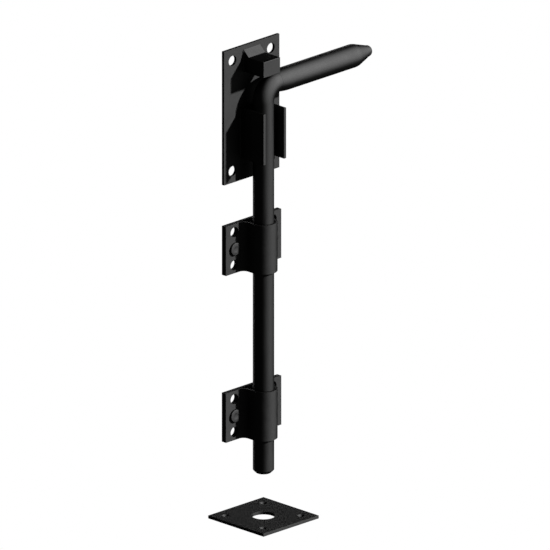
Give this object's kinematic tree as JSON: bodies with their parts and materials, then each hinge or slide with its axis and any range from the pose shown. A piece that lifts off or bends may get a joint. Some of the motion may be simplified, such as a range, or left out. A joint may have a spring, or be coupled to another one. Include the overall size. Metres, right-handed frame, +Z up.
{
  "type": "gate drop bolt",
  "caption": "Bent bar with a sleeved handle that slides in riveted guides on a gate and drops into a floor plate, with a keeper and a stop block for its handle.",
  "frame": {"origin": "on the ground, on the bar's axis, at the middle of the floor plate's underside", "axes": "+Z up along the bar, -Y out of the gate's face towards the user, +X along the handle at rest"},
  "size_m": [0.1769, 0.073, 0.466],
  "materials": {
    "black_coat": "black semi-gloss powder coat with a fine orange peel",
    "black_sleeve": "black moulded vinyl sleeve, satin",
    "rivet_coat": "black semi-gloss coat over a flat pressed rivet head"
  },
  "bodies": {
    "mounting": {"wall_plate": "black_coat", "stop_block": "black_coat", "handle_keeper": "black_coat", "upper_guide_plate": "black_coat", "upper_guide_strap": "black_coat", "upper_rivet_left": "rivet_coat", "upper_rivet_right": "rivet_coat", "lower_guide_plate": "black_coat", "lower_guide_strap": "black_coat", "lower_rivet_left": "rivet_coat", "lower_rivet_right": "rivet_coat", "floor_plate": "black_coat"},
    "bolt": {"bolt_rod": "black_coat"},
    "handle": {"handle_bar": "black_coat", "handle_grip": "black_sleeve"}
  },
  "joints": [
    {"name": "bolt_slide", "type": "slide", "parent": "mounting", "child": "bolt", "axis": [0, 0, 1], "range_m": [-0.009, 0.0015]},
    {"name": "handle_turn", "type": "hinge", "parent": "bolt", "child": "handle", "pos_m": [0, 0, 0.41185], "axis": [0, 0, 1], "range_deg": [-180, 0]}
  ]
}
